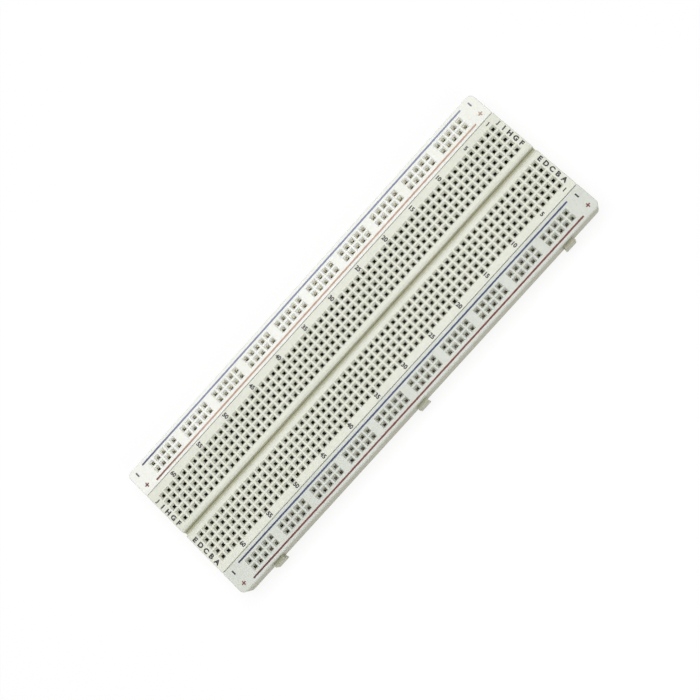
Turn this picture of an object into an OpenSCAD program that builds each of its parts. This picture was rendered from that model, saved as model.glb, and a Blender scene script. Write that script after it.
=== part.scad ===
// Full-size solderless breadboard: a terminal strip with a power rail clipped to each
// long side, sprung contacts in every slot, and foam tape with a peel-off liner below.
// X runs along the columns (column 1 at +X), Y across the rows (row J at +Y), Z is up.
// The origin is the centre of the face the board rests on.

/* [Board] */
// Length of the three strips
board_len = 165.1; // [163.5:0.1:172]
// Height of the moulded strips, without foam
body_h = 8.5; // [8.2:0.1:10]
// Width of the terminal strip
terminal_w = 35.4; // [34.5:0.1:38]
// Width of each power rail
rail_w = 9.5; // [9.2:0.05:12]
// Gap between two strips
seam = 0.1; // [0.05:0.05:0.3]
// Radius of the board's four outer vertical corners
outer_corner_r = 1.8; // [0.6:0.1:2]
// Radius of the corners where two strips meet
inner_corner_r = 0.4; // [0.2:0.1:0.8]

/* [Tie points] */
// Distance between neighbouring tie points
pitch = 2.54; // [2.5:0.01:2.54]
// Number of columns of the terminal strip
columns = 63; // [11:2:63]
// Width of the square hole that a lead goes into
hole_w = 1.0; // [0.9:0.05:1.2]
// Width of the square funnel at the top face
mouth_w = 2.0; // [1.6:0.05:2.1]
// Thickness of the top wall, which each funnel goes through
top_wall = 1.2; // [0.8:0.1:2]
// Number of groups of five tie points in a power rail
rail_groups = 10; // [1:1:10]

/* [Central channel] */
// Width of the channel, which a chip stands across, at the top face
channel_w = 3.0; // [2.4:0.1:3.2]
// Width of the sloping lip on each side of the channel
channel_lip_w = 0.7; // [0.1:0.1:0.8]
// Drop of that lip
channel_lip_drop = 0.5; // [0.1:0.1:0.8]
// Width of the channel's floor
channel_floor_w = 0.9; // [0.5:0.1:1.4]
// Depth of the channel
channel_depth = 2.4; // [1:0.1:5]

/* [Contacts] */
// Width of the slots that hold the contacts
slot_w = 1.9; // [1.8:0.05:1.95]
// Thickness of the contact sheet
sheet_t = 0.2; // [0.15:0.01:0.25]
// Width of one sprung leaf
leaf_w = 1.9; // [1.5:0.1:2.1]
// Gap where the two leaves of a five-way clip pinch a lead
pinch_gap = 0.12; // [0.08:0.02:0.3]
// Gap where the two leaves of a bus strip pinch a lead
bus_pinch_gap = 0.3; // [0.08:0.02:0.4]
// Distance from the pinch up to the flared lips
pinch_depth = 1.0; // [0.6:0.1:1.5]
// Distance from the top wall down to the lips of a five-way clip
clip_drop = 0.8; // [0:0.1:1.5]
// Height of the foot that joins the leaves
foot_h = 1.4; // [1:0.1:3]
// Air left around a contact in its slot
contact_play = 0.03; // [0.02:0.01:0.06]

/* [Dovetails] */
// Distance from the middle tab to the outer tabs
tab_spacing = 67.6; // [40:0.1:72]
// Width of a tab where it leaves the wall
tab_neck_w = 3.8; // [3:0.1:5]
// Width of a tab at its tip
tab_tip_w = 4.4; // [4:0.1:6]
// Distance that a tab stands out of the wall
tab_out = 1.4; // [1:0.1:1.9]
// Height of a tab
tab_h = 5.2; // [3:0.1:6]
// Clearance between a tab and its slot
tab_play = 0.12; // [0.05:0.01:0.2]

/* [Backing] */
// Thickness of the adhesive foam
foam_t = 1.0; // [0.5:0.1:1.5]
// Thickness of the peel-off liner
liner_t = 0.1; // [0.1:0.05:0.2]
// Distance that the foam stays back from the strip's edge
foam_inset = 0.6; // [0.1:0.1:1]

/* [Hidden] */
contact_groups = 7;

over = 0.5;                                     // how far a cutter reaches past a face
base_z = foam_t + liner_t;                      // underside of the moulded strips
top_z = base_z + body_h;
roof_z = top_z - top_wall;                      // top of the contact slots
half_rows = 5;
row_1_y = 1.5 * pitch;                          // rows E and F, beside the channel
rows = [for (side = [-1, 1], k = [0 : half_rows - 1]) side * (row_1_y + k * pitch)];
half_mid_y = row_1_y + (half_rows - 1) / 2 * pitch;
rail_mid_y = (terminal_w + rail_w) / 2 + seam;
rail_x = [for (g = [0 : rail_groups - 1], k = [0 : half_rows - 1])
    (g - (rail_groups - 1) / 2) * 6 * pitch + (k - (half_rows - 1) / 2) * pitch];
rail_span = (rail_groups - 1) * 6 * pitch + (half_rows - 1) * pitch;
column_group = ceil(columns / contact_groups);  // columns served by one group of clips
clip_len = (half_rows - 1) * pitch + leaf_w;
bus_len = rail_span + leaf_w;
slot_len = clip_len + 2 * contact_play;
bus_slot_len = bus_len + 2 * contact_play;
contact_w = slot_w - 2 * contact_play;
contact_h = body_h - top_wall - contact_play;

plastic = [0.90, 0.90, 0.85];
metal = [0.74, 0.73, 0.70];
foam_colour = [0.93, 0.90, 0.80];
liner_colour = [0.80, 0.72, 0.58];

function column_x(c) = ((columns + 1) / 2 - c) * pitch;

// A rectangle whose corners at -Y and +Y have their own radii.
module plate(len, width, r_low, r_high) {
    for (end = [-1, 1]) {
        translate([end * (len / 2 - r_low), -width / 2 + r_low]) circle(r_low, $fn = 32);
        translate([end * (len / 2 - r_high), width / 2 - r_high]) circle(r_high, $fn = 32);
    }
    translate([-len / 2 + r_low, -width / 2]) square([len - 2 * r_low, width / 2]);
    translate([-len / 2 + r_high, 0]) square([len - 2 * r_high, width / 2]);
    translate([-len / 2, -width / 2 + r_low]) square([len, width - r_low - r_high]);
}

// Cross-section of a row or column of tie points: a funnel through the top wall.
module funnel_section() {
    polygon([[-hole_w / 2, roof_z - over], [hole_w / 2, roof_z - over], [hole_w / 2, roof_z],
        [mouth_w / 2, top_z], [mouth_w / 2, top_z + over], [-mouth_w / 2, top_z + over],
        [-mouth_w / 2, top_z], [-hole_w / 2, roof_z]]);
}

// Square tie points wherever a column in xs crosses a row in ys.
module tie_points(xs, ys) {
    reach_x = max(xs) + pitch;
    reach_y = max([for (y = ys) abs(y)]) + pitch;
    intersection() {
        union() for (x = xs)
            translate([x, reach_y, 0]) rotate([90, 0, 0])
                linear_extrude(2 * reach_y) funnel_section();
        union() for (y = ys)
            translate([-reach_x, y, 0]) rotate([90, 0, 90])
                linear_extrude(2 * reach_x) funnel_section();
    }
}

// Plan of one dovetail that points towards -Y from the origin.
module dovetail(play = 0) {
    polygon([[-tab_neck_w / 2 - play, over], [-tab_neck_w / 2 - play, 0],
        [-tab_tip_w / 2 - play, -tab_out - play], [tab_tip_w / 2 + play, -tab_out - play],
        [tab_neck_w / 2 + play, 0], [tab_neck_w / 2 + play, over]]);
}

// The three dovetails of a strip, in line along X.
module dovetails(height, play = 0) {
    for (x = [-tab_spacing, 0, tab_spacing])
        translate([x, 0, 0]) linear_extrude(height) dovetail(play);
}

// A moulded strip before its tie points are cut: tabs at -Y, slots for tabs at +Y.
module strip_blank(width, r_low, r_high) {
    difference() {
        union() {
            translate([0, 0, base_z]) linear_extrude(body_h)
                plate(board_len, width, r_low, r_high);
            translate([0, -width / 2, base_z]) dovetails(tab_h);
        }
        translate([0, width / 2, base_z - over]) dovetails(tab_h + tab_play + over, tab_play);
    }
}

// Cross-section of the channel, with its sloping lips and steep walls.
module channel_section() {
    half = [[channel_floor_w / 2, -channel_depth],
        [channel_w / 2 - channel_lip_w, -channel_lip_drop],
        [channel_w / 2, 0], [channel_w / 2, over]];
    polygon(concat(half,
        [for (i = [len(half) - 1 : -1 : 0]) [-half[i][0], half[i][1]]]));
}

module terminal_strip_body() color(plastic) difference() {
    strip_blank(terminal_w, inner_corner_r, inner_corner_r);
    tie_points([for (c = [1 : columns]) column_x(c)], rows);
    for (c = [1 : columns], side = [-1, 1])
        translate([column_x(c) - slot_w / 2, side * half_mid_y - slot_len / 2, base_z - over])
            cube([slot_w, slot_len, roof_z - base_z + over]);
    translate([-board_len / 2 - over, 0, top_z]) rotate([90, 0, 90])
        linear_extrude(board_len + 2 * over) channel_section();
}

// A power rail centred on y = 0, with its two long bus slots.
module rail_body(r_low, r_high) {
    difference() {
        strip_blank(rail_w, r_low, r_high);
        tie_points(rail_x, [-pitch / 2, pitch / 2]);
        for (side = [-1, 1])
            translate([-bus_slot_len / 2, side * pitch / 2 - slot_w / 2, base_z - over])
                cube([bus_slot_len, slot_w, roof_z - base_z + over]);
    }
}

module power_rail_a_body() color(plastic)
    translate([0, -rail_mid_y, 0]) rail_body(outer_corner_r, inner_corner_r);

module power_rail_j_body() color(plastic)
    translate([0, rail_mid_y, 0]) rail_body(inner_corner_r, outer_corner_r);

// Cross-section of a contact: a folded foot, and two leaves that pinch and then flare.
module contact_section(height, gap) {
    wall = contact_w / 2;
    pinch = gap / 2;
    lip = hole_w / 2 + 0.1;
    half = [[wall, 0], [pinch + sheet_t, height - pinch_depth], [lip + sheet_t, height],
        [lip, height], [pinch, height - pinch_depth], [wall - 1.2 * sheet_t, sheet_t]];
    polygon(concat(half,
        [for (i = [len(half) - 1 : -1 : 0]) [-half[i][0], half[i][1]]]));
}

// A folded contact along Y, slit down to its foot between the leaves at each y in ys.
module contact_strip(ys, height, gap) {
    len_y = ys[len(ys) - 1] - ys[0] + leaf_w;
    translate([0, 0, base_z]) difference() {
        translate([0, len_y / 2, 0]) rotate([90, 0, 0])
            linear_extrude(len_y) contact_section(height, gap);
        for (i = [1 : len(ys) - 1])
            translate([-slot_w / 2, ys[i - 1] + leaf_w / 2, foot_h])
                cube([slot_w, ys[i] - ys[i - 1] - leaf_w, height]);
    }
}

// The five-way clips of one group of columns, on one side of the channel.
module spring_clips(side, group) color(metal) {
    first = (group - 1) * column_group + 1;
    last = min(group * column_group, columns);
    for (c = [first : last])
        translate([column_x(c), side * half_mid_y, 0])
            contact_strip([for (k = [-2 : 2]) k * pitch], contact_h - clip_drop, pinch_gap);
}

// The long bus contact below one row of a power rail.
module bus_strip(y) color(metal)
    translate([0, y, 0]) rotate([0, 0, 90]) contact_strip(rail_x, contact_h, bus_pinch_gap);

// A layer below a strip, set back from its edges and notched below its dovetail slots.
module backing_layer(y, width, low, thickness) translate([0, y, low]) difference() {
    translate([-board_len / 2 + foam_inset, -width / 2 + foam_inset, 0])
        cube([board_len - 2 * foam_inset, width - 2 * foam_inset, thickness]);
    translate([0, width / 2, -over]) dovetails(thickness + 2 * over, 3 * tab_play);
}

module foam_pad(y, width) color(foam_colour) backing_layer(y, width, liner_t, foam_t);

module release_liner(y, width) color(liner_colour) backing_layer(y, width, 0, liner_t);

terminal_strip_body();
power_rail_a_body();
power_rail_j_body();
for (group = [1 : contact_groups]) {
    spring_clips(-1, group);
    spring_clips(1, group);
}
bus_strip(-rail_mid_y + pitch / 2);  // bus_strip_a_inner
bus_strip(-rail_mid_y - pitch / 2);  // bus_strip_a_outer
bus_strip(rail_mid_y - pitch / 2);  // bus_strip_j_inner
bus_strip(rail_mid_y + pitch / 2);  // bus_strip_j_outer
foam_pad(0, terminal_w);  // foam_pad_terminal
foam_pad(-rail_mid_y, rail_w);  // foam_pad_rail_a
foam_pad(rail_mid_y, rail_w);  // foam_pad_rail_j
release_liner(0, terminal_w);  // release_liner_terminal
release_liner(-rail_mid_y, rail_w);  // release_liner_rail_a
release_liner(rail_mid_y, rail_w);  // release_liner_rail_j
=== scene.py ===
"""Looks of the solderless breadboard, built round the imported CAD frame. Lengths are in millimetres
until they reach a mesh, where MM turns them into metres."""
import math

import bmesh
import bpy
from mathutils import Matrix, Vector, noise


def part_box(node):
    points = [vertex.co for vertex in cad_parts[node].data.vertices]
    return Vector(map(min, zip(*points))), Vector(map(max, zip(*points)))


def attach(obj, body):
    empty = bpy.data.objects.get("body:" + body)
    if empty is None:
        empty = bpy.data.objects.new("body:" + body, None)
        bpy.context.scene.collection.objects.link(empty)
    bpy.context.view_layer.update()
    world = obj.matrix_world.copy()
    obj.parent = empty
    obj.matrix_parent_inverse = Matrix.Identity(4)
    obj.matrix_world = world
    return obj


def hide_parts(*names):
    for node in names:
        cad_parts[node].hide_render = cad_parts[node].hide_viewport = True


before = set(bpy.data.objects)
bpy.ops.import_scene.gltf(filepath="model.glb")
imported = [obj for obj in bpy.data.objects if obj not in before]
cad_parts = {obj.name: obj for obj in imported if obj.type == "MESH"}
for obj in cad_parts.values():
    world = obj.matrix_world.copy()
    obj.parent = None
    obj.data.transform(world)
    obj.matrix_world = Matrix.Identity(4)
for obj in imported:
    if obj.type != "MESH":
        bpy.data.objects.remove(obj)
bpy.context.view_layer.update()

MM = 0.001

# Driving dimensions, the same as in the CAD
PITCH = 2.54
COLUMNS = 63
HALF_ROWS = 5
RAIL_GROUPS = 10
HOLE_W = 1.0
MOUTH_W = 2.0
TOP_WALL = 1.2
SLOT_W = 1.9
LEAF_W = 1.9
CONTACT_PLAY = 0.03
CHANNEL_W = 3.0
CHANNEL_LIP_W = 0.7
CHANNEL_LIP_DROP = 0.5
CHANNEL_FLOOR_W = 0.9
CHANNEL_DEPTH = 2.4
TAB_SPACING = 67.6
TAB_NECK_W = 3.8
TAB_TIP_W = 4.4
TAB_OUT = 1.4
TAB_H = 5.2
TAB_PLAY = 0.12
OUTER_CORNER_R = 1.8
INNER_CORNER_R = 0.4


def box_mm(node):
    """Lowest and highest corner of a CAD node, in millimetres."""
    low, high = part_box(node)
    return low / MM, high / MM


BODY_LOW, BODY_HIGH = box_mm("terminal_strip_body")
BASE_Z = BODY_LOW.z
TOP_Z = BODY_HIGH.z
ROOF_Z = TOP_Z - TOP_WALL
BOARD_LEN = BODY_HIGH.x - BODY_LOW.x
ROW_1_Y = 1.5 * PITCH


def column_x(column):
    return ((COLUMNS + 1) / 2 - column) * PITCH


# ---------------------------------------------------------------- mesh helpers

def new_object(name, bm, materials=()):
    mesh = bpy.data.meshes.new(name)
    bm.to_mesh(mesh)
    bm.free()
    for material in materials:
        mesh.materials.append(material)
    obj = bpy.data.objects.new(name, mesh)
    bpy.context.scene.collection.objects.link(obj)
    return obj


def scale_to_metres(bm):
    bmesh.ops.scale(bm, vec=(MM, MM, MM), verts=bm.verts)


def smooth_by_angle(bm, degrees=32):
    """Smooth faces, with edges sharper than the angle kept hard."""
    limit = math.radians(degrees)
    for face in bm.faces:
        face.smooth = True
    for edge in bm.edges:
        edge.smooth = len(edge.link_faces) == 2 and edge.calc_face_angle(math.pi) < limit


def apply_modifier(obj, kind, **settings):
    """Adds a modifier, applies it to the mesh and removes it."""
    modifier = obj.modifiers.new(kind, kind)
    for key, value in settings.items():
        setattr(modifier, key, value)
    depsgraph = bpy.context.evaluated_depsgraph_get()
    mesh = bpy.data.meshes.new_from_object(obj.evaluated_get(depsgraph))
    obj.modifiers.remove(modifier)
    old = obj.data
    obj.data = mesh
    bpy.data.meshes.remove(old)


# ---------------------------------------------------------------- moulded strips

RIM_R = 0.16                # rounding where a funnel meets the top face
RIM_STEPS = 3


def funnel_levels():
    """(height, half width) of the square funnel from the roof of the slot to the top face."""
    lean = math.atan2((MOUTH_W - HOLE_W) / 2, TOP_WALL)
    turn = math.pi / 2 - lean
    tangent = RIM_R * math.tan(turn / 2)
    centre_z = TOP_Z - RIM_R
    centre_half = MOUTH_W / 2 + tangent
    rim = []
    for step in range(RIM_STEPS + 1):
        angle = turn * (1 - step / RIM_STEPS)
        rim.append((centre_z + RIM_R * math.cos(angle), centre_half - RIM_R * math.sin(angle)))
    middle_z = TOP_Z - CHANNEL_LIP_DROP
    middle_half = HOLE_W / 2 + (middle_z - ROOF_Z) * math.tan(lean)
    return [(ROOF_Z, HOLE_W / 2), (middle_z, middle_half)] + rim


def channel_half(z):
    """Half the channel's width at a height: a floor, steep walls and sloping lips."""
    depth = min(TOP_Z - z, CHANNEL_DEPTH)
    neck, foot = CHANNEL_W / 2 - CHANNEL_LIP_W, CHANNEL_FLOOR_W / 2
    if depth <= CHANNEL_LIP_DROP:
        return CHANNEL_W / 2 - CHANNEL_LIP_W * depth / CHANNEL_LIP_DROP
    below = (depth - CHANNEL_LIP_DROP) / (CHANNEL_DEPTH - CHANNEL_LIP_DROP)
    return neck + (foot - neck) * below


class Lines:
    """Lattice lines along one axis: each has its place low down, its place up in the funnels, and
    whether it bounds a hole."""

    def __init__(self):
        self.items = []

    def add(self, low, high=None, hole=None):
        self.items.append((low, low if high is None else high, hole))

    def sort(self):
        self.items.sort(key=lambda item: item[0])


def lattice_strip(width, xs, ys, slots, channel):
    """A moulded strip centred on y = 0: a lattice of cells, each solid or empty, whose outer faces
    are kept. Lines that bound a hole spread apart towards the top, which makes the funnels."""
    levels = funnel_levels()
    heights = [BASE_Z] + ([TOP_Z - CHANNEL_DEPTH] if channel else []) + [z for z, half in levels]
    halves = [HOLE_W / 2] * (len(heights) - len(levels)) + [half for z, half in levels]
    roof = len(heights) - len(levels)
    spread = (PITCH / 2 + levels[-1][1]) / 2

    lines_x, lines_y = Lines(), Lines()
    for end in (-1, 1):
        lines_x.add(end * BOARD_LEN / 2)
        lines_y.add(end * width / 2)
        if channel:
            lines_y.add(end * CHANNEL_W / 2)
    for x in xs:
        for side in (-1, 1):
            lines_x.add(x + side * HOLE_W / 2, hole=(x, side))
            if slots == "across":
                lines_x.add(x + side * SLOT_W / 2, x + side * spread)
    for y in ys:
        for side in (-1, 1):
            lines_y.add(y + side * HOLE_W / 2, hole=(y, side))
            if slots == "along":
                lines_y.add(y + side * SLOT_W / 2, y + side * spread)
    reach = LEAF_W / 2 + CONTACT_PLAY
    if slots == "across":
        for side in (-1, 1):
            near, far = ROW_1_Y - reach, ROW_1_Y + (HALF_ROWS - 1) * PITCH + reach
            lines_y.add(side * near, side * (ROW_1_Y - spread))
            lines_y.add(side * far, side * (ROW_1_Y + (HALF_ROWS - 1) * PITCH + spread))
    else:
        for side in (-1, 1):
            lines_x.add(side * (max(xs) + reach), side * (max(xs) + spread))
    lines_x.sort()
    lines_y.sort()

    def hole_span(lines, i):
        low, high = lines.items[i][2], lines.items[i + 1][2]
        return bool(low and high and low[0] == high[0] and low[1] < high[1])

    def in_slot(i, j):
        x = (lines_x.items[i][0] + lines_x.items[i + 1][0]) / 2
        y = (lines_y.items[j][0] + lines_y.items[j + 1][0]) / 2
        if slots == "across":
            near, far = ROW_1_Y - reach, ROW_1_Y + (HALF_ROWS - 1) * PITCH + reach
            return near < abs(y) < far and any(abs(x - c) < SLOT_W / 2 for c in near_columns(x))
        return abs(x) < max(xs) + reach and any(abs(y - c) < SLOT_W / 2 for c in ys)

    def near_columns(x):
        k = round(x / PITCH)
        return [k * PITCH] if abs(k) <= (COLUMNS - 1) / 2 else []

    nx, ny, nz = len(lines_x.items) - 1, len(lines_y.items) - 1, len(heights) - 1
    solid = {}
    for i in range(nx):
        hole_x = hole_span(lines_x, i)
        for j in range(ny):
            hole = hole_x and hole_span(lines_y, j)
            slot = in_slot(i, j)
            mid_y = (lines_y.items[j][0] + lines_y.items[j + 1][0]) / 2
            gap = channel and abs(mid_y) < CHANNEL_W / 2
            for k in range(nz):
                empty = (hole and k >= roof) or (slot and k < roof) or (gap and k >= 1)
                solid[i, j, k] = not empty

    def corner(i, j, k):
        low_x, high_x, hole_x = lines_x.items[i]
        low_y, high_y, hole_y = lines_y.items[j]
        if hole_x and hole_y:
            return (hole_x[0] + hole_x[1] * halves[k], hole_y[0] + hole_y[1] * halves[k], heights[k])
        x = low_x if k <= roof else high_x
        y = low_y if k <= roof else high_y
        if channel and abs(y) == CHANNEL_W / 2:
            y = math.copysign(channel_half(heights[k]), y)
        if hole_x and k > roof:
            x = hole_x[0] + hole_x[1] * halves[k]
        if hole_y and k > roof:
            y = hole_y[0] + hole_y[1] * halves[k]
        return (x, y, heights[k])

    bm = bmesh.new()
    verts = {}

    def vert(i, j, k):
        if (i, j, k) not in verts:
            verts[i, j, k] = bm.verts.new(corner(i, j, k))
        return verts[i, j, k]

    sides = (
        ((-1, 0, 0), ((0, 0, 0), (0, 0, 1), (0, 1, 1), (0, 1, 0))),
        ((1, 0, 0), ((1, 0, 0), (1, 1, 0), (1, 1, 1), (1, 0, 1))),
        ((0, -1, 0), ((0, 0, 0), (1, 0, 0), (1, 0, 1), (0, 0, 1))),
        ((0, 1, 0), ((0, 1, 0), (0, 1, 1), (1, 1, 1), (1, 1, 0))),
        ((0, 0, -1), ((0, 0, 0), (0, 1, 0), (1, 1, 0), (1, 0, 0))),
        ((0, 0, 1), ((0, 0, 1), (1, 0, 1), (1, 1, 1), (0, 1, 1))),
    )
    for (i, j, k), filled in solid.items():
        if not filled:
            continue
        for (di, dj, dk), corners in sides:
            if not solid.get((i + di, j + dj, k + dk), False):
                bm.faces.new([vert(i + a, j + b, k + c) for a, b, c in corners])
    return bm


EDGE_R = 0.34               # rounding of the strip's top edges
FOOT_R = 0.12               # rounding of its bottom edges


def round_edges(bm, width, radii, channel):
    """Rounds the vertical corners, then the edges of the top face, channel and underside."""
    half_x, half_y = BOARD_LEN / 2, width / 2
    near = 1e-4
    bm.normal_update()

    def at(value, target):
        return abs(value - target) < near

    def on_wall(co):
        in_channel = channel and abs(co.y) < CHANNEL_W / 2 and co.z > TOP_Z - CHANNEL_DEPTH + near
        return at(abs(co.x), half_x) or at(abs(co.y), half_y) or in_channel

    def on_kept_level(co):
        return at(co.z, TOP_Z) or at(co.z, BASE_Z) or (
            channel and abs(co.y) < CHANNEL_W / 2 and at(co.z, TOP_Z - CHANNEL_LIP_DROP))

    extra = []
    for e in bm.edges:
        a, b = (v.co for v in e.verts)
        if at(a.z, b.z) and on_wall(a) and on_wall(b) and not (on_kept_level(a) and on_kept_level(b)):
            if len(e.link_faces) == 2 and e.calc_face_angle(9) < math.radians(1):
                extra.append(e)
    bmesh.ops.dissolve_edges(bm, edges=extra, use_verts=True)

    for side, radius in zip((-1, 1), radii):
        corners = [e for e in bm.edges if all(
            at(abs(v.co.x), half_x) and at(v.co.y, side * half_y) for v in e.verts)]
        bmesh.ops.bevel(bm, geom=corners, offset=radius, offset_type="OFFSET", segments=6,
                        profile=0.5, affect="EDGES", clamp_overlap=False)

    def outer(e):
        return len(e.link_faces) == 2 and e.calc_face_angle(0) > math.radians(60)

    def is_wall(face):
        return abs(face.normal.z) < 0.1

    def on_outside(face):
        c = face.calc_center_median()
        reach = OUTER_CORNER_R + 0.2
        return abs(c.x) > half_x - reach and (at(abs(c.x), half_x) or abs(c.y) > half_y - reach) \
            or at(abs(c.y), half_y)

    for height, radius, steps in ((TOP_Z, EDGE_R, 4), (BASE_Z, FOOT_R, 2)):
        rim = [e for e in bm.edges if outer(e) and all(at(v.co.z, height) for v in e.verts)
               and any(is_wall(f) and on_outside(f) for f in e.link_faces)]
        if channel and height == TOP_Z:
            rim += [e for e in bm.edges if all(
                at(v.co.z, height) and at(abs(v.co.y), CHANNEL_W / 2) for v in e.verts)]
        bmesh.ops.bevel(bm, geom=rim, offset=radius, offset_type="OFFSET", segments=steps,
                        profile=0.5, affect="EDGES", clamp_overlap=False)


def dovetail_solid(name, wall_y, low_z, height, play, into):
    """Three dovetails that point to -Y from a wall, as one closed mesh."""
    bm = bmesh.new()
    outline = [(-TAB_NECK_W / 2 - play, into), (-TAB_NECK_W / 2 - play, 0),
               (-TAB_TIP_W / 2 - play, -TAB_OUT - play), (TAB_TIP_W / 2 + play, -TAB_OUT - play),
               (TAB_NECK_W / 2 + play, 0), (TAB_NECK_W / 2 + play, into)]
    for x in (-TAB_SPACING, 0, TAB_SPACING):
        low = [bm.verts.new((x + px, wall_y + py, low_z)) for px, py in outline]
        high = [bm.verts.new((x + px, wall_y + py, low_z + height)) for px, py in outline]
        bm.faces.new(reversed(low))
        bm.faces.new(high)
        for i in range(len(outline)):
            j = (i + 1) % len(outline)
            bm.faces.new((low[i], low[j], high[j], high[i]))
    if play == 0:
        tips = [e for e in bm.edges if all(v.co.y < wall_y - TAB_OUT / 2 for v in e.verts)]
        bmesh.ops.bevel(bm, geom=tips, offset=0.2, segments=3, profile=0.5, affect="EDGES")
    bmesh.ops.recalc_face_normals(bm, faces=bm.faces)
    scale_to_metres(bm)
    return new_object(name, bm)


def moulded_strip(name, width, mid_y, xs, ys, slots, radii, channel=False):
    bm = lattice_strip(width, xs, ys, slots, channel)
    round_edges(bm, width, radii, channel)
    bmesh.ops.recalc_face_normals(bm, faces=bm.faces)
    scale_to_metres(bm)
    obj = new_object(name, bm)
    tabs = dovetail_solid(name + "_tabs", -width / 2, BASE_Z + 0.02, TAB_H, 0, 0.5)
    cut = dovetail_solid(name + "_cut", width / 2, BASE_Z - 1, TAB_H + TAB_PLAY + 1, TAB_PLAY, 1)
    apply_modifier(obj, "BOOLEAN", object=tabs, operation="UNION", solver="MANIFOLD")
    apply_modifier(obj, "BOOLEAN", object=cut, operation="DIFFERENCE", solver="MANIFOLD")
    for tool in (tabs, cut):
        bpy.data.meshes.remove(tool.data)
    bm = bmesh.new()
    bm.from_mesh(obj.data)
    bmesh.ops.remove_doubles(bm, verts=bm.verts, dist=1e-6)
    bmesh.ops.translate(bm, vec=(0, mid_y * MM, 0), verts=bm.verts)
    smooth_by_angle(bm)
    bm.to_mesh(obj.data)
    bm.free()
    obj.modifiers.new("normals", "WEIGHTED_NORMAL").keep_sharp = True
    return obj


# ---------------------------------------------------------------- foam and liners

FOAM_H = 1.0
FOAM_INSET = 0.6            # how far the foam and liner stay back from the strip's edges
FOAM_CORNER_R = 0.9
NOTCH_PLAY = 3 * TAB_PLAY


def backing_outline(width, inset, corner_r, notch_play):
    """Plan of a layer below a strip, anticlockwise from its -X, -Y corner, with three notches on
    its +Y side that leave the dovetail slots open."""
    half_x, half_y = BOARD_LEN / 2 - inset, width / 2 - inset
    points = []

    def corner(cx, cy, start):
        for step in range(5):
            angle = math.radians(start + 90 * step / 4)
            points.append((cx + corner_r * math.cos(angle), cy + corner_r * math.sin(angle)))

    corner(-half_x + corner_r, -half_y + corner_r, 180)
    corner(half_x - corner_r, -half_y + corner_r, 270)
    corner(half_x - corner_r, half_y - corner_r, 0)
    lean = (TAB_TIP_W - TAB_NECK_W) / 2 / TAB_OUT
    neck = TAB_NECK_W / 2 + notch_play + lean * inset
    tip = TAB_TIP_W / 2 + notch_play
    deep_y = width / 2 - TAB_OUT - notch_play
    for x in (TAB_SPACING, 0, -TAB_SPACING):
        points += [(x + neck, half_y), (x + tip, deep_y), (x - tip, deep_y), (x - neck, half_y)]
    corner(-half_x + corner_r, half_y - corner_r, 90)
    return points


def divided(points, spacing):
    """The same closed outline with extra points, no further apart than spacing."""
    made = []
    for (x0, y0), (x1, y1) in zip(points, points[1:] + points[:1]):
        pieces = max(1, math.ceil(math.hypot(x1 - x0, y1 - y0) / spacing))
        made += [(x0 + (x1 - x0) * i / pieces, y0 + (y1 - y0) * i / pieces)
                 for i in range(pieces)]
    return made


def inward(points, index):
    """Unit vector that points into a closed anticlockwise outline at one of its points."""
    x0, y0 = points[index - 1]
    x1, y1 = points[(index + 1) % len(points)]
    length = math.hypot(x1 - x0, y1 - y0)
    return (y0 - y1) / length, (x1 - x0) / length


def layer(name, outline, mid_y, profile, ragged=0.0):
    """A closed flat layer. profile lists (height, distance in from the outline), from below up;
    ragged is how far the cut edge wanders."""
    bm = bmesh.new()
    rings = []
    directions = [inward(outline, i) for i in range(len(outline))]
    for height, inset in profile:
        ring = []
        for (x, y), (nx, ny) in zip(outline, directions):
            wander = ragged * noise.noise(Vector((x * 0.9, y * 0.9, height * 3)))
            shift = inset + (ragged + wander if ragged else 0)
            ring.append(bm.verts.new((x + nx * shift, mid_y + y + ny * shift, height)))
        rings.append(ring)
    count = len(outline)
    for low, high in zip(rings, rings[1:]):
        for i in range(count):
            j = (i + 1) % count
            bm.faces.new((low[i], low[j], high[j], high[i]))
    bm.faces.new(list(reversed(rings[0])))
    bm.faces.new(rings[-1])
    bmesh.ops.recalc_face_normals(bm, faces=bm.faces)
    smooth_by_angle(bm, 40)
    scale_to_metres(bm)
    return new_object(name, bm)


# ---------------------------------------------------------------- print

INK_UP = 0.012              # height of the ink above the top face
INK_DOWN = 0.010            # how far its closed mesh goes into the plastic
LETTER_H = 1.75
LETTER_WEIGHT = 0.05        # how far the outline is grown, at the typeface's own size of 1
LETTER_STRETCH = 1.1        # its width against the typeface's own
DIGIT_H = 1.55
DIGIT_WEIGHT = 0.042
SIGN_W = 1.6
SIGN_STROKE = 0.42
MINUS_STROKE = 0.52
LINE_W = 0.58
LINE_HALF = 76.4
LETTER_X = 81.15
SIGN_X = 79.75
NUMBER_Y = 16.15
BLUE_LINE_Y = 3.32          # place of each rail line, from the middle of its rail
RED_LINE_Y = -3.57
LINE_STEPS = 300
LINE_WANDER = 0.05
SIGN_Y = 2.3                # distance of each sign from the middle of its rail


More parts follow.
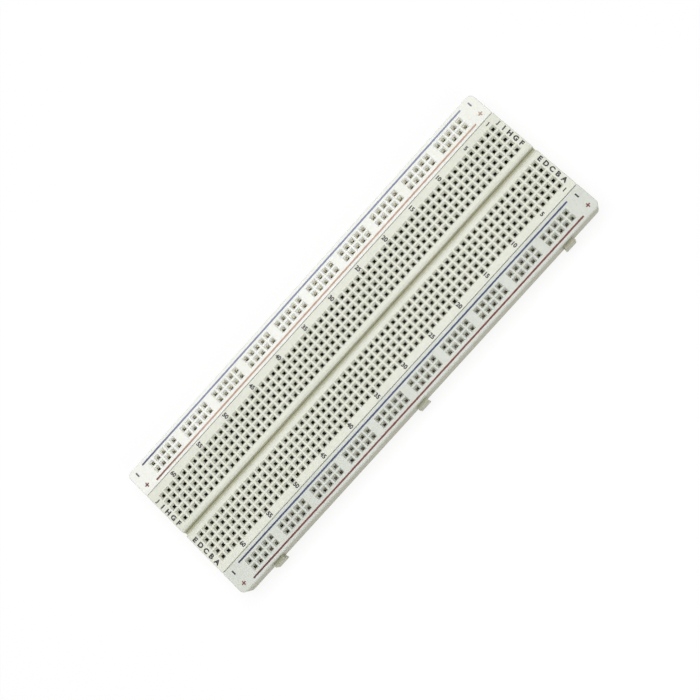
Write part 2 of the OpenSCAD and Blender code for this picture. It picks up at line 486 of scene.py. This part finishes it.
def glyph_bmesh(text, height, weight, stretch):
    """A closed flat mesh of some characters in Blender's own typeface, centred, of that height."""
    curve = bpy.data.curves.new("glyph", "FONT")
    curve.body = text
    curve.align_x, curve.align_y = "CENTER", "CENTER"
    curve.offset = weight
    curve.extrude = 1.0
    curve.resolution_u = 5
    obj = bpy.data.objects.new("glyph", curve)
    bpy.context.scene.collection.objects.link(obj)
    depsgraph = bpy.context.evaluated_depsgraph_get()
    mesh = bpy.data.meshes.new_from_object(obj.evaluated_get(depsgraph))
    bpy.data.objects.remove(obj)
    bpy.data.curves.remove(curve)
    bm = bmesh.new()
    bm.from_mesh(mesh)
    bpy.data.meshes.remove(mesh)
    bmesh.ops.remove_doubles(bm, verts=bm.verts, dist=1e-5)
    xs = [v.co.x for v in bm.verts]
    ys = [v.co.y for v in bm.verts]
    size = height / (max(ys) - min(ys))
    middle = Vector(((max(xs) + min(xs)) / 2, (max(ys) + min(ys)) / 2, 0))
    for v in bm.verts:
        flat = (v.co - middle) * size
        v.co = Vector((flat.x * stretch, flat.y, INK_UP if v.co.z > 0 else -INK_DOWN))
    return bm


def place_glyph(target, text, height, x, y, weight, stretch=1.0):
    """Adds characters to target, with their tops towards column 1."""
    bm = glyph_bmesh(text, height, weight, stretch)
    turn = Matrix.Translation((x, y, TOP_Z)) @ Matrix.Rotation(-math.pi / 2, 4, "Z")
    bm.transform(turn)
    mesh = bpy.data.meshes.new("placed")
    bm.to_mesh(mesh)
    bm.free()
    target.from_mesh(mesh)
    bpy.data.meshes.remove(mesh)


def ink_bar(target, x0, x1, y0, y1, steps=1, wander=0.0):
    """A printed bar from (x0, y0) to (x1, y1) along X, whose two edges wander a little."""
    rings = []
    for i in range(steps + 1):
        x = x0 + (x1 - x0) * i / steps
        low = y0 + wander * noise.noise(Vector((x * 0.8, y0, 3.1)))
        high = y1 + wander * noise.noise(Vector((x * 0.8, y1, 7.7)))
        rings.append([target.verts.new(co) for co in (
            (x, low, TOP_Z - INK_DOWN), (x, high, TOP_Z - INK_DOWN),
            (x, high, TOP_Z + INK_UP), (x, low, TOP_Z + INK_UP))])
    for a, b in zip(rings, rings[1:]):
        for i in range(4):
            j = (i + 1) % 4
            target.faces.new((a[i], b[i], b[j], a[j]))
    target.faces.new(rings[0])
    target.faces.new(list(reversed(rings[-1])))


def finish_ink(name, bm, material, body):
    bmesh.ops.recalc_face_normals(bm, faces=bm.faces)
    scale_to_metres(bm)
    obj = new_object(name, bm, [material])
    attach(obj, body)
    return obj


def print_terminal(black):
    letters = bmesh.new()
    names = "ABCDEFGHIJ"
    for index, row in enumerate(range(-HALF_ROWS, HALF_ROWS)):
        y = (row + 0.5) * PITCH + math.copysign(PITCH, row + 0.5)
        for end in (-1, 1):
            place_glyph(letters, names[index], LETTER_H, end * LETTER_X, y, LETTER_WEIGHT,
                        LETTER_STRETCH)
    finish_ink("row_letters", letters, black, "terminal_strip")
    numbers = bmesh.new()
    for column in [1] + list(range(5, COLUMNS, 5)):
        for side in (-1, 1):
            place_glyph(numbers, str(column), DIGIT_H, column_x(column), side * NUMBER_Y,
                        DIGIT_WEIGHT)
    finish_ink("column_numbers", numbers, black, "terminal_strip")


def print_rail(rail, mid_y, blue, red, minus, plus):
    """Blue line and minus signs on the +Y side of the rail, red line and plus signs on its -Y
    side."""
    name = rail.replace("power_rail", "rail")
    for colour, y, material in (("blue", mid_y + BLUE_LINE_Y, blue),
                                ("red", mid_y + RED_LINE_Y, red)):
        line = bmesh.new()
        ink_bar(line, -LINE_HALF, LINE_HALF, y - LINE_W / 2, y + LINE_W / 2, LINE_STEPS,
                LINE_WANDER)
        finish_ink(name + "_" + colour + "_line", line, material, rail)
    signs = bmesh.new()
    for end in (-1, 1):
        x, y = end * SIGN_X, mid_y + SIGN_Y
        ink_bar(signs, x - MINUS_STROKE / 2, x + MINUS_STROKE / 2, y - SIGN_W / 2, y + SIGN_W / 2)
    finish_ink(name + "_minus_signs", signs, minus, rail)
    signs = bmesh.new()
    for end in (-1, 1):
        plus_sign(signs, end * SIGN_X, mid_y - SIGN_Y)
    finish_ink(name + "_plus_signs", signs, plus, rail)


def plus_sign(target, x, y):
    w, s = SIGN_W / 2, SIGN_STROKE / 2
    outline = [(-s, -w), (s, -w), (s, -s), (w, -s), (w, s), (s, s), (s, w), (-s, w), (-s, s),
               (-w, s), (-w, -s), (-s, -s)]
    low = [target.verts.new((x + a, y + b, TOP_Z - INK_DOWN)) for a, b in outline]
    high = [target.verts.new((x + a, y + b, TOP_Z + INK_UP)) for a, b in outline]
    target.faces.new(list(reversed(low)))
    target.faces.new(high)
    for i in range(len(outline)):
        j = (i + 1) % len(outline)
        target.faces.new((low[i], low[j], high[j], high[i]))


# ---------------------------------------------------------------- materials

class Nodes:
    """Short spelling for a material's node tree. Texture places are in millimetres."""

    def __init__(self, name):
        self.material = bpy.data.materials.new(name)
        self.material.use_nodes = True
        self.tree = self.material.node_tree
        self.shader = self.tree.nodes["Principled BSDF"]
        place = self.add("ShaderNodeTexCoord").outputs["Object"]
        scale = self.add("ShaderNodeVectorMath", operation="SCALE")
        scale.inputs["Scale"].default_value = 1 / MM
        self.link(place, scale.inputs[0])
        self.place = scale.outputs[0]

    def add(self, kind, **settings):
        node = self.tree.nodes.new(kind)
        for key, value in settings.items():
            setattr(node, key, value)
        return node

    def link(self, source, target):
        self.tree.links.new(source, target)

    def noise(self, per_mm, detail=2.0, rough=0.5, stretch=None):
        node = self.add("ShaderNodeTexNoise")
        node.inputs["Scale"].default_value = per_mm
        node.inputs["Detail"].default_value = detail
        node.inputs["Roughness"].default_value = rough
        if stretch:
            mapping = self.add("ShaderNodeMapping")
            mapping.inputs["Scale"].default_value = stretch
            self.link(self.place, mapping.inputs["Vector"])
            self.link(mapping.outputs["Vector"], node.inputs["Vector"])
        else:
            self.link(self.place, node.inputs["Vector"])
        return node.outputs["Fac"]

    def ramp(self, source, stops):
        node = self.add("ShaderNodeValToRGB")
        elements = node.color_ramp.elements
        while len(elements) < len(stops):
            elements.new(0.5)
        for element, (position, colour) in zip(elements, stops):
            element.position = position
            element.color = (*colour, 1)
        self.link(source, node.inputs["Fac"])
        return node.outputs["Color"]

    def span(self, source, low, high, start=0.3, end=0.7):
        node = self.add("ShaderNodeMapRange")
        for key, value in (("From Min", start), ("From Max", end), ("To Min", low),
                           ("To Max", high)):
            node.inputs[key].default_value = value
        self.link(source, node.inputs["Value"])
        return node.outputs["Result"]

    def mix(self, factor, first, second, blend="MIX"):
        node = self.add("ShaderNodeMix", data_type="RGBA", blend_type=blend)
        sockets = [socket for socket in node.inputs if socket.enabled]
        for value, socket in zip((factor, first, second), sockets):
            if isinstance(value, bpy.types.NodeSocket):
                self.link(value, socket)
            elif isinstance(value, tuple):
                socket.default_value = (*value, 1)
            else:
                socket.default_value = value
        colours = [o for o in node.outputs if o.type == "RGBA"]
        return colours[0]

    def bump(self, source, depth_mm, strength=1.0, below=None):
        node = self.add("ShaderNodeBump")
        node.inputs["Distance"].default_value = depth_mm * MM
        node.inputs["Strength"].default_value = strength
        self.link(source, node.inputs["Height"])
        if below:
            self.link(below, node.inputs["Normal"])
        self.link(node.outputs["Normal"], self.shader.inputs["Normal"])
        return node.outputs["Normal"]

    def set(self, **values):
        for key, value in values.items():
            socket = self.shader.inputs[key.replace("_", " ")]
            if isinstance(value, bpy.types.NodeSocket):
                self.link(value, socket)
            elif isinstance(value, tuple):
                socket.default_value = (*value, 1)
            else:
                socket.default_value = value
        return self


# Painted shade: the plastic is multiplied darker and warmer low on the walls and in the channel,
# where shade and warm bounce light fall.
PAINTED_RECESS_SHADE = (0.70, 0.68, 0.56)
SHADE_START = 0.9            # where the painted shade begins, this far below the top face
SHADE_FULL = 2.2             # and is complete this far below it


def moulded_plastic(name, base, shade):
    """Off-white ABS: slow drift of the colour, a darker, warmer painted shade low down, a fine
    spark-eroded texture and a satin gloss."""
    n = Nodes(name)
    drift = n.ramp(n.noise(0.06, 3, 0.6), [(0.35, shade), (0.65, base)])
    speck = n.ramp(n.noise(1.6, 4, 0.6), [(0.3, (0.955, 0.955, 0.95)), (0.7, (1, 1, 1))])
    colour = n.mix(1.0, drift, speck, "MULTIPLY")
    height = n.add("ShaderNodeSeparateXYZ")
    n.link(n.place, height.inputs[0])
    # Painted shade: the colour is multiplied darker and warmer from 0.9 mm below the top face, fully
    # from 2.2 mm down.
    low = n.span(height.outputs["Z"], 1.0, 0.0, TOP_Z - SHADE_FULL, TOP_Z - SHADE_START)
    colour = n.mix(low, colour, n.mix(1.0, colour, PAINTED_RECESS_SHADE, "MULTIPLY"))
    n.set(Base_Color=colour, Roughness=n.span(n.noise(0.9, 4, 0.6), 0.42, 0.56), IOR=1.52,
          Subsurface_Weight=0.3, Subsurface_Scale=0.001)
    n.shader.inputs["Subsurface Radius"].default_value = (1.0, 0.97, 0.75)
    grain = n.bump(n.noise(9.0, 3, 0.65), 0.012, 0.5)
    n.bump(n.noise(0.18, 2, 0.5), 0.03, 0.5, below=grain)
    return n.material


PRINT_END_X, PRINT_BLEND_X = -78, -52    # the print goes from its darker end colour to its usual colour between these places in X


def ink(name, dark, light, end_colour=None):
    """Printed ink with patchy coverage. end_colour, if given, is its darker colour at the column 63
    end."""
    n = Nodes(name)
    cover = n.ramp(n.noise(1.1, 5, 0.7), [(0.32, dark), (0.72, light)])
    if end_colour:
        along = n.add("ShaderNodeSeparateXYZ")
        n.link(n.place, along.inputs[0])
        # darker end colour near column 63, blending into the usual colour further along X
        past_end = n.span(along.outputs["X"], 0.0, 1.0, PRINT_END_X, PRINT_BLEND_X)
        cover = n.mix(past_end, end_colour, cover)
    n.set(Base_Color=cover, Roughness=n.span(n.noise(3.0, 3, 0.6), 0.42, 0.6), IOR=1.5)
    n.bump(n.noise(12.0, 3, 0.6), 0.004, 0.6)
    return n.material


def plated_spring(name, dark, light):
    """Nickel-plated phosphor bronze strip with the fine lines of rolling along it."""
    n = Nodes(name)
    tone = n.ramp(n.noise(0.7, 4, 0.6), [(0.3, dark), (0.7, light)])
    lines = n.noise(2.2, 4, 0.7, stretch=(1.0, 0.12, 6.0))
    n.set(Base_Color=tone, Metallic=1.0, Roughness=n.span(lines, 0.22, 0.42))
    n.bump(lines, 0.004, 0.5)
    return n.material


def foam_tape():
    """Closed-cell foam: small cells that show on the cut edge."""
    n = Nodes("foam_tape")
    cells = n.add("ShaderNodeTexVoronoi", feature="F1")
    cells.inputs["Scale"].default_value = 3.2
    n.link(n.place, cells.inputs["Vector"])
    tone = n.ramp(cells.outputs["Distance"], [(0.05, (0.52, 0.45, 0.33)), (0.55, (0.80, 0.74, 0.60))])
    drift = n.ramp(n.noise(0.25, 3, 0.6), [(0.3, (0.93, 0.92, 0.9)), (0.7, (1, 1, 1))])
    n.set(Base_Color=n.mix(1.0, tone, drift, "MULTIPLY"), Roughness=0.92, IOR=1.45,
          Subsurface_Weight=0.2, Subsurface_Scale=0.0008)
    n.bump(cells.outputs["Distance"], 0.12, 0.7)
    return n.material


def kraft_liner():
    """Waxed kraft paper: short brown fibres below a slight sheen."""
    n = Nodes("kraft_liner")
    fibres = n.noise(1.4, 6, 0.75, stretch=(0.25, 2.2, 1.0))
    cloud = n.ramp(n.noise(0.12, 4, 0.6), [(0.3, (0.50, 0.37, 0.22)), (0.7, (0.62, 0.48, 0.31))])
    tone = n.mix(n.span(fibres, 0.0, 0.5), cloud, (0.36, 0.25, 0.14))
    n.set(Base_Color=tone, Roughness=n.span(fibres, 0.38, 0.6), IOR=1.45, Coat_Weight=0.15,
          Coat_Roughness=0.3)
    n.bump(fibres, 0.02, 0.5)
    return n.material


# The three mouldings are one plastic: the row-A rail's darker colour is painted shade and the row-J
# rail's lighter colour a painted highlight.
mouldings = {
    "terminal_strip": moulded_plastic("abs_terminal", (0.74, 0.75, 0.66), (0.71, 0.725, 0.63)),
    "power_rail_a": moulded_plastic("abs_rail_a", (0.65, 0.675, 0.615), (0.615, 0.635, 0.575)),
    "power_rail_j": moulded_plastic("abs_rail_j", (0.86, 0.87, 0.82), (0.83, 0.84, 0.78)),
}
black_ink = ink("black_ink", (0.008, 0.008, 0.007), (0.028, 0.026, 0.024))
blue_ink = ink("blue_ink_a", (0.015, 0.032, 0.10), (0.030, 0.054, 0.15), (0.008, 0.014, 0.055))
red_ink = ink("red_ink_a", (0.12, 0.012, 0.007), (0.17, 0.020, 0.012), (0.070, 0.007, 0.005))
# The row-J inks below are lighter than row A's as a painted highlight, the glare on that rail; each
# keeps a darker colour at the column 63 end.
blue_ink_painted_glare = ink("blue_ink_j", (0.17, 0.19, 0.31), (0.25, 0.27, 0.40), (0.05, 0.06, 0.13))
red_ink_painted_glare = ink("red_ink_j", (0.42, 0.25, 0.18), (0.54, 0.36, 0.27), (0.14, 0.025, 0.012))
sign_blue = ink("sign_ink_blue_a", (0.012, 0.016, 0.030), (0.028, 0.034, 0.055))
sign_blue_painted_glare = ink("sign_ink_blue_j", (0.15, 0.16, 0.21), (0.23, 0.24, 0.30), (0.05, 0.055, 0.07))
sign_red = ink("sign_ink_a", (0.15, 0.03, 0.03), (0.24, 0.07, 0.06))
sign_red_painted_glare = ink("sign_ink_j", (0.38, 0.25, 0.20), (0.50, 0.36, 0.28), (0.15, 0.03, 0.03))
# One nickel plating in three tones: darker in the five-way clips as painted shade deep in their
# holes, lighter in the row-J bus strip as a painted highlight.
metals = {
    "spring_clips": plated_spring("clip_nickel", (0.24, 0.225, 0.19), (0.40, 0.38, 0.33)),
    "bus_strip_a": plated_spring("bus_nickel_a", (0.56, 0.54, 0.47), (0.78, 0.75, 0.67)),
    "bus_strip_j": plated_spring("bus_nickel_j", (0.80, 0.77, 0.67), (0.94, 0.91, 0.81)),
}
foam = foam_tape()
liner_paper = kraft_liner()

# ---------------------------------------------------------------- the object

TERMINAL_W = 2 * BODY_HIGH.y
RAIL_HIGH = box_mm("power_rail_j_body")[1]
RAIL_LOW = box_mm("bus_strip_j_inner")[0].y, box_mm("bus_strip_j_outer")[1].y
RAIL_MID_Y = sum(RAIL_LOW) / 2
RAIL_W = 2 * (RAIL_HIGH.y - RAIL_MID_Y)
RAIL_X = [(group - (RAIL_GROUPS - 1) / 2) * 6 * PITCH + (k - (HALF_ROWS - 1) / 2) * PITCH
          for group in range(RAIL_GROUPS) for k in range(HALF_ROWS)]


def make_strips():
    columns = [column_x(c) for c in range(1, COLUMNS + 1)]
    rows = [side * (ROW_1_Y + k * PITCH) for side in (-1, 1) for k in range(HALF_ROWS)]
    pair = [-PITCH / 2, PITCH / 2]
    made = {
        "terminal_strip": moulded_strip(
            "moulding_terminal", TERMINAL_W, 0, columns, rows, "across",
            (INNER_CORNER_R, INNER_CORNER_R), channel=True),
        "power_rail_a": moulded_strip(
            "moulding_rail_a", RAIL_W, -RAIL_MID_Y, RAIL_X, pair, "along",
            (OUTER_CORNER_R, INNER_CORNER_R)),
        "power_rail_j": moulded_strip(
            "moulding_rail_j", RAIL_W, RAIL_MID_Y, RAIL_X, pair, "along",
            (INNER_CORNER_R, OUTER_CORNER_R)),
    }
    for body, obj in made.items():
        obj.data.materials.clear()
        obj.data.materials.append(mouldings[body])
        for face in obj.data.polygons:
            face.material_index = 0
        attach(obj, body)
        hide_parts(body + "_body")
    return made


def make_backing():
    liner_h = BASE_Z - FOAM_H
    for body, part, width, mid_y in (("terminal_strip", "terminal", TERMINAL_W, 0),
                                     ("power_rail_a", "rail_a", RAIL_W, -RAIL_MID_Y),
                                     ("power_rail_j", "rail_j", RAIL_W, RAIL_MID_Y)):
        outline = divided(backing_outline(width, FOAM_INSET, FOAM_CORNER_R, NOTCH_PLAY), 0.7)
        bulge = [(liner_h, 0.0), (liner_h + 0.25, 0.05), (liner_h + 0.5, 0.08),
                 (liner_h + 0.75, 0.05), (BASE_Z, 0.0)]
        pad = layer("foam_tape_" + part, outline, mid_y, bulge, ragged=0.06)
        pad.data.materials.append(foam)
        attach(pad, body)
        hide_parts("foam_pad_" + part)
        paper = layer("liner_" + part, outline, mid_y, [(0, 0.02), (0.02, 0), (liner_h, 0)])
        paper.data.materials.append(liner_paper)
        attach(paper, body)
        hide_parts("release_liner_" + part)


def dress_contacts():
    for name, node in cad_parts.items():
        for start, metal in metals.items():
            if name.startswith(start):
                node.data.materials.clear()
                node.data.materials.append(metal)


make_strips()
make_backing()
dress_contacts()
print_terminal(black_ink)
print_rail("power_rail_a", -RAIL_MID_Y, blue_ink, red_ink, sign_blue, sign_red)
print_rail("power_rail_j", RAIL_MID_Y, blue_ink_painted_glare, red_ink_painted_glare, sign_blue_painted_glare, sign_red_painted_glare)

# ---------------------------------------------------------------- stage, light, camera

CAMERA_AT = (25.89, -95.71, 415.57)     # millimetres, in the CAD frame
CAMERA_AIM = (-3.01, 0.48, 8.6)
CAMERA_UP = (0.7403, 0.6641, 0.1044)
CAMERA_LENS = 68.06


def aim(obj, location, target, up):
    """Puts an object that looks along its own -Z, with its +Y as near to up as can be."""
    back = (Vector(location) - Vector(target)).normalized()
    right = Vector(up).cross(back).normalized()
    turn = Matrix((right, back.cross(right), back)).transposed().to_4x4()
    obj.matrix_world = Matrix.Translation(Vector(location) * MM) @ turn


def soft_light(name, location, size, power):
    lamp = bpy.data.lights.new(name, "AREA")
    lamp.shape = "RECTANGLE"
    lamp.size, lamp.size_y = size[0] * MM, size[1] * MM
    lamp.energy = power
    obj = bpy.data.objects.new(name, lamp)
    bpy.context.scene.collection.objects.link(obj)
    aim(obj, location, (0, 0, 0), (0, 0, 1))


FLOOR_HALF = 60000
FLOOR_Z = -0.02             # just below the object, so that the two never share a plane


def make_floor():
    bm = bmesh.new()
    bmesh.ops.create_grid(bm, x_segments=8, y_segments=8, size=FLOOR_HALF)
    scale_to_metres(bm)
    n = Nodes("pale_floor")
    tone = n.ramp(n.noise(0.004, 2, 0.5), [(0.3, (0.14, 0.14, 0.14)), (0.7, (0.15, 0.15, 0.15))])
    n.set(Base_Color=tone, Roughness=0.9, Emission_Color=(1, 1, 1), Emission_Strength=0.84)
    floor = new_object("floor", bm, [n.material])
    floor.location.z = FLOOR_Z * MM


def make_world():
    world = bpy.data.worlds.new("studio")
    world.use_nodes = True
    sky = world.node_tree.nodes["Background"]
    sky.inputs["Color"].default_value = (1, 1, 1, 1)
    sky.inputs["Strength"].default_value = 0.20
    bpy.context.scene.world = world


make_floor()
make_world()
soft_light("key", (0, 125, 600), (680, 420), 3.35)
soft_light("fill", (60, -420, 430), (500, 300), 0.9)
bpy.context.scene.view_settings.view_transform = "Standard"

camera = bpy.data.objects.new("camera", bpy.data.cameras.new("camera"))
bpy.context.scene.collection.objects.link(camera)
camera.data.lens = CAMERA_LENS
camera.data.clip_start, camera.data.clip_end = 0.01, 200
aim(camera, CAMERA_AT, CAMERA_AIM, CAMERA_UP)
bpy.context.scene.camera = camera
